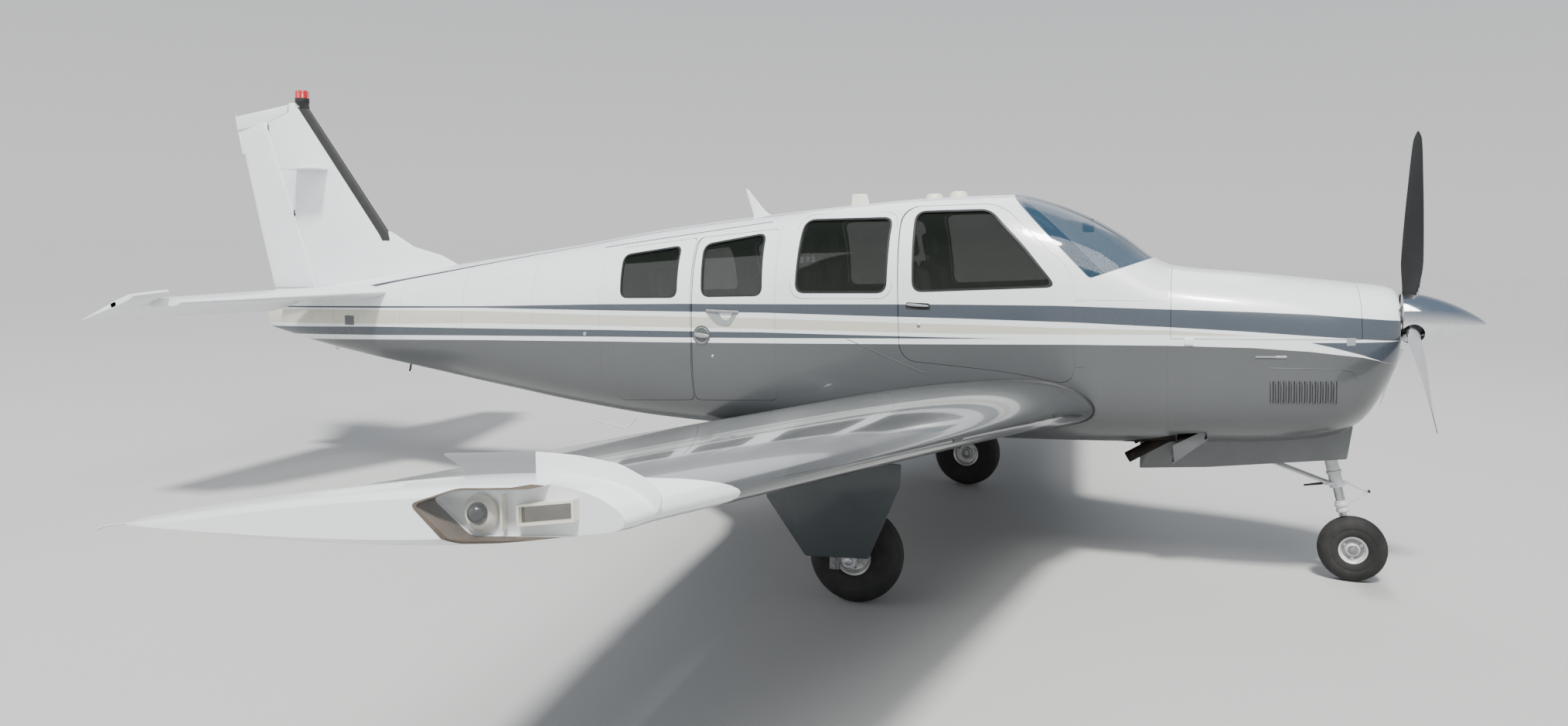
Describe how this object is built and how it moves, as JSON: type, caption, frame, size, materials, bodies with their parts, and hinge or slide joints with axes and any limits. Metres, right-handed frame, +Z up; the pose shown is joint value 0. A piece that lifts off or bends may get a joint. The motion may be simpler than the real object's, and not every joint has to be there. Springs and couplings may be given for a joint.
{
  "type": "single engine low wing light aircraft",
  "caption": "Low wing light aircraft with a hollow cabin, retractable-style tricycle gear shown down, turning propeller, hinged doors, cowl doors and moving control surfaces",
  "frame": {"origin": "on the ground, on the centreline, half way between the spinner's tip and the rudder's trailing edge", "axes": "+X forward to the propeller, +Y to the left wing tip, +Z up"},
  "size_m": [8.3836, 10.21, 2.7594],
  "materials": {
    "white_paint": "gloss",
    "grey_paint": "gloss",
    "dark_paint": "satin",
    "glass": "gloss",
    "gear_steel": "satin",
    "tyre": "matte",
    "upholstery": "matte",
    "engine_metal": "satin",
    "blade_metal": "satin",
    "polished_metal": "polished",
    "dark_plastic": "matte",
    "red_lens": "gloss"
  },
  "bodies": {
    "airframe": {"cabin_floor": "grey_paint", "cabin_roof": "white_paint", "cabin_side_left": "white_paint", "cabin_side_right": "white_paint", "forward_fuselage": "white_paint", "tail_cone": "white_paint", "windshield": "glass", "glass_second_right": "glass", "glass_pilot_left": "glass", "glass_second_left": "glass", "glass_third_left": "glass", "glass_fourth_left": "glass", "wing_left": "grey_paint", "wing_right": "grey_paint", "fin": "white_paint", "beacon": "red_lens", "tailplane_left": "white_paint", "tailplane_right": "white_paint", "cowl_lower": "grey_paint", "engine_block": "engine_metal", "seat_front_left": "upholstery", "seat_front_right": "upholstery", "seat_middle_left": "upholstery", "seat_middle_right": "upholstery", "seat_rear": "upholstery", "instrument_panel": "dark_plastic", "nose_door_left": "grey_paint", "nose_door_right": "grey_paint", "main_strut_left": "gear_steel", "main_strut_right": "gear_steel", "main_door_left": "dark_paint", "main_door_right": "dark_paint", "nose_strut": "gear_steel"},
    "propeller": {"propeller": "blade_metal", "spinner": "polished_metal"},
    "nose_fork": {"nose_fork": "gear_steel"},
    "nose_wheel": {"nose_wheel": "tyre"},
    "main_wheel_left": {"main_wheel_left": "tyre"},
    "main_wheel_right": {"main_wheel_right": "tyre"},
    "rudder": {"rudder": "white_paint"},
    "elevator": {"elevator": "white_paint"},
    "aileron_left": {"aileron_left": "grey_paint"},
    "aileron_right": {"aileron_right": "grey_paint"},
    "flap_left": {"flap_left": "grey_paint"},
    "flap_right": {"flap_right": "grey_paint"},
    "front_door": {"front_door": "white_paint", "glass_pilot_right": "glass"},
    "aft_door_front": {"aft_door_front": "white_paint", "glass_third_right": "glass"},
    "aft_door_rear": {"aft_door_rear": "white_paint", "glass_fourth_right": "glass"},
    "cowl_door_left": {"cowl_door_left": "white_paint"},
    "cowl_door_right": {"cowl_door_right": "white_paint"}
  },
  "joints": [
    {"name": "propeller_turn", "type": "hinge", "parent": "airframe", "child": "propeller", "pos_m": [3.82909, 0, 1.43773], "axis": [1, 0, 0], "continuous": true},
    {"name": "main_wheel_left_roll", "type": "hinge", "parent": "airframe", "child": "main_wheel_left", "pos_m": [1.215, 1.4625, 0.235], "axis": [0, 1, 0], "continuous": true},
    {"name": "main_wheel_right_roll", "type": "hinge", "parent": "airframe", "child": "main_wheel_right", "pos_m": [1.215, -1.4625, 0.235], "axis": [0, 1, 0], "continuous": true},
    {"name": "nose_steer", "type": "hinge", "parent": "airframe", "child": "nose_fork", "pos_m": [3.611, 0, 0.176], "axis": [-0.2588, 0, 0.9659], "range_deg": [-25, 25]},
    {"name": "nose_wheel_roll", "type": "hinge", "parent": "nose_fork", "child": "nose_wheel", "pos_m": [3.611, 0, 0.176], "axis": [0, 1, 0], "continuous": true},
    {"name": "rudder_swing", "type": "hinge", "parent": "airframe", "child": "rudder", "pos_m": [-3.4188, 0, 1.3071], "axis": [-0.3728, 0, 0.9279], "range_deg": [-25, 25]},
    {"name": "elevator_swing", "type": "hinge", "parent": "airframe", "child": "elevator", "pos_m": [-3.26276, 0, 1.28562], "axis": [0, 1, 0], "range_deg": [0, 43]},
    {"name": "aileron_left_swing", "type": "hinge", "parent": "airframe", "child": "aileron_left", "pos_m": [0.80222, 3, 0.99707], "axis": [0.0885, 0.9902, 0.1077], "range_deg": [-20, 20]},
    {"name": "flap_left_swing", "type": "hinge", "parent": "airframe", "child": "flap_left", "pos_m": [0.62273, 0.71, 0.73308], "axis": [0.0779, 0.9904, 0.1143], "range_deg": [-30, 0]},
    {"name": "aileron_right_swing", "type": "hinge", "parent": "airframe", "child": "aileron_right", "pos_m": [0.96667, -4.84, 1.19711], "axis": [-0.0885, 0.9902, -0.1077], "range_deg": [-20, 20]},
    {"name": "flap_right_swing", "type": "hinge", "parent": "airframe", "child": "flap_right", "pos_m": [0.79965, -2.96, 0.99273], "axis": [-0.0779, 0.9904, -0.1143], "range_deg": [-30, 0]},
    {"name": "front_door_swing", "type": "hinge", "parent": "airframe", "child": "front_door", "pos_m": [2.14608, -0.57704, 1.13999], "axis": [-0.0419, 0.0051, 0.9991], "range_deg": [0, 75]},
    {"name": "aft_door_front_swing", "type": "hinge", "parent": "airframe", "child": "aft_door_front", "pos_m": [0.42668, -0.57146, 1.01788], "axis": [-0.0419, -0.0035, 0.9991], "range_deg": [0, 90]},
    {"name": "aft_door_rear_swing", "type": "hinge", "parent": "airframe", "child": "aft_door_rear", "pos_m": [-0.67535, -0.48949, 0.97169], "axis": [-0.0419, -0.0058, 0.9991], "range_deg": [-90, 0]},
    {"name": "cowl_door_left_swing", "type": "hinge", "parent": "airframe", "child": "cowl_door_left", "pos_m": [2.61527, 0.014, 1.6945], "axis": [0.9977, 0, -0.0674], "range_deg": [0, 75]},
    {"name": "cowl_door_right_swing", "type": "hinge", "parent": "airframe", "child": "cowl_door_right", "pos_m": [2.61527, -0.014, 1.6945], "axis": [0.9977, 0, -0.0674], "range_deg": [-75, 0]}
  ],
  "couplings": [
    {"joint": "aileron_right_swing", "follows": "aileron_left_swing", "ratio": -1},
    {"joint": "flap_right_swing", "follows": "flap_left_swing", "ratio": 1}
  ]
}
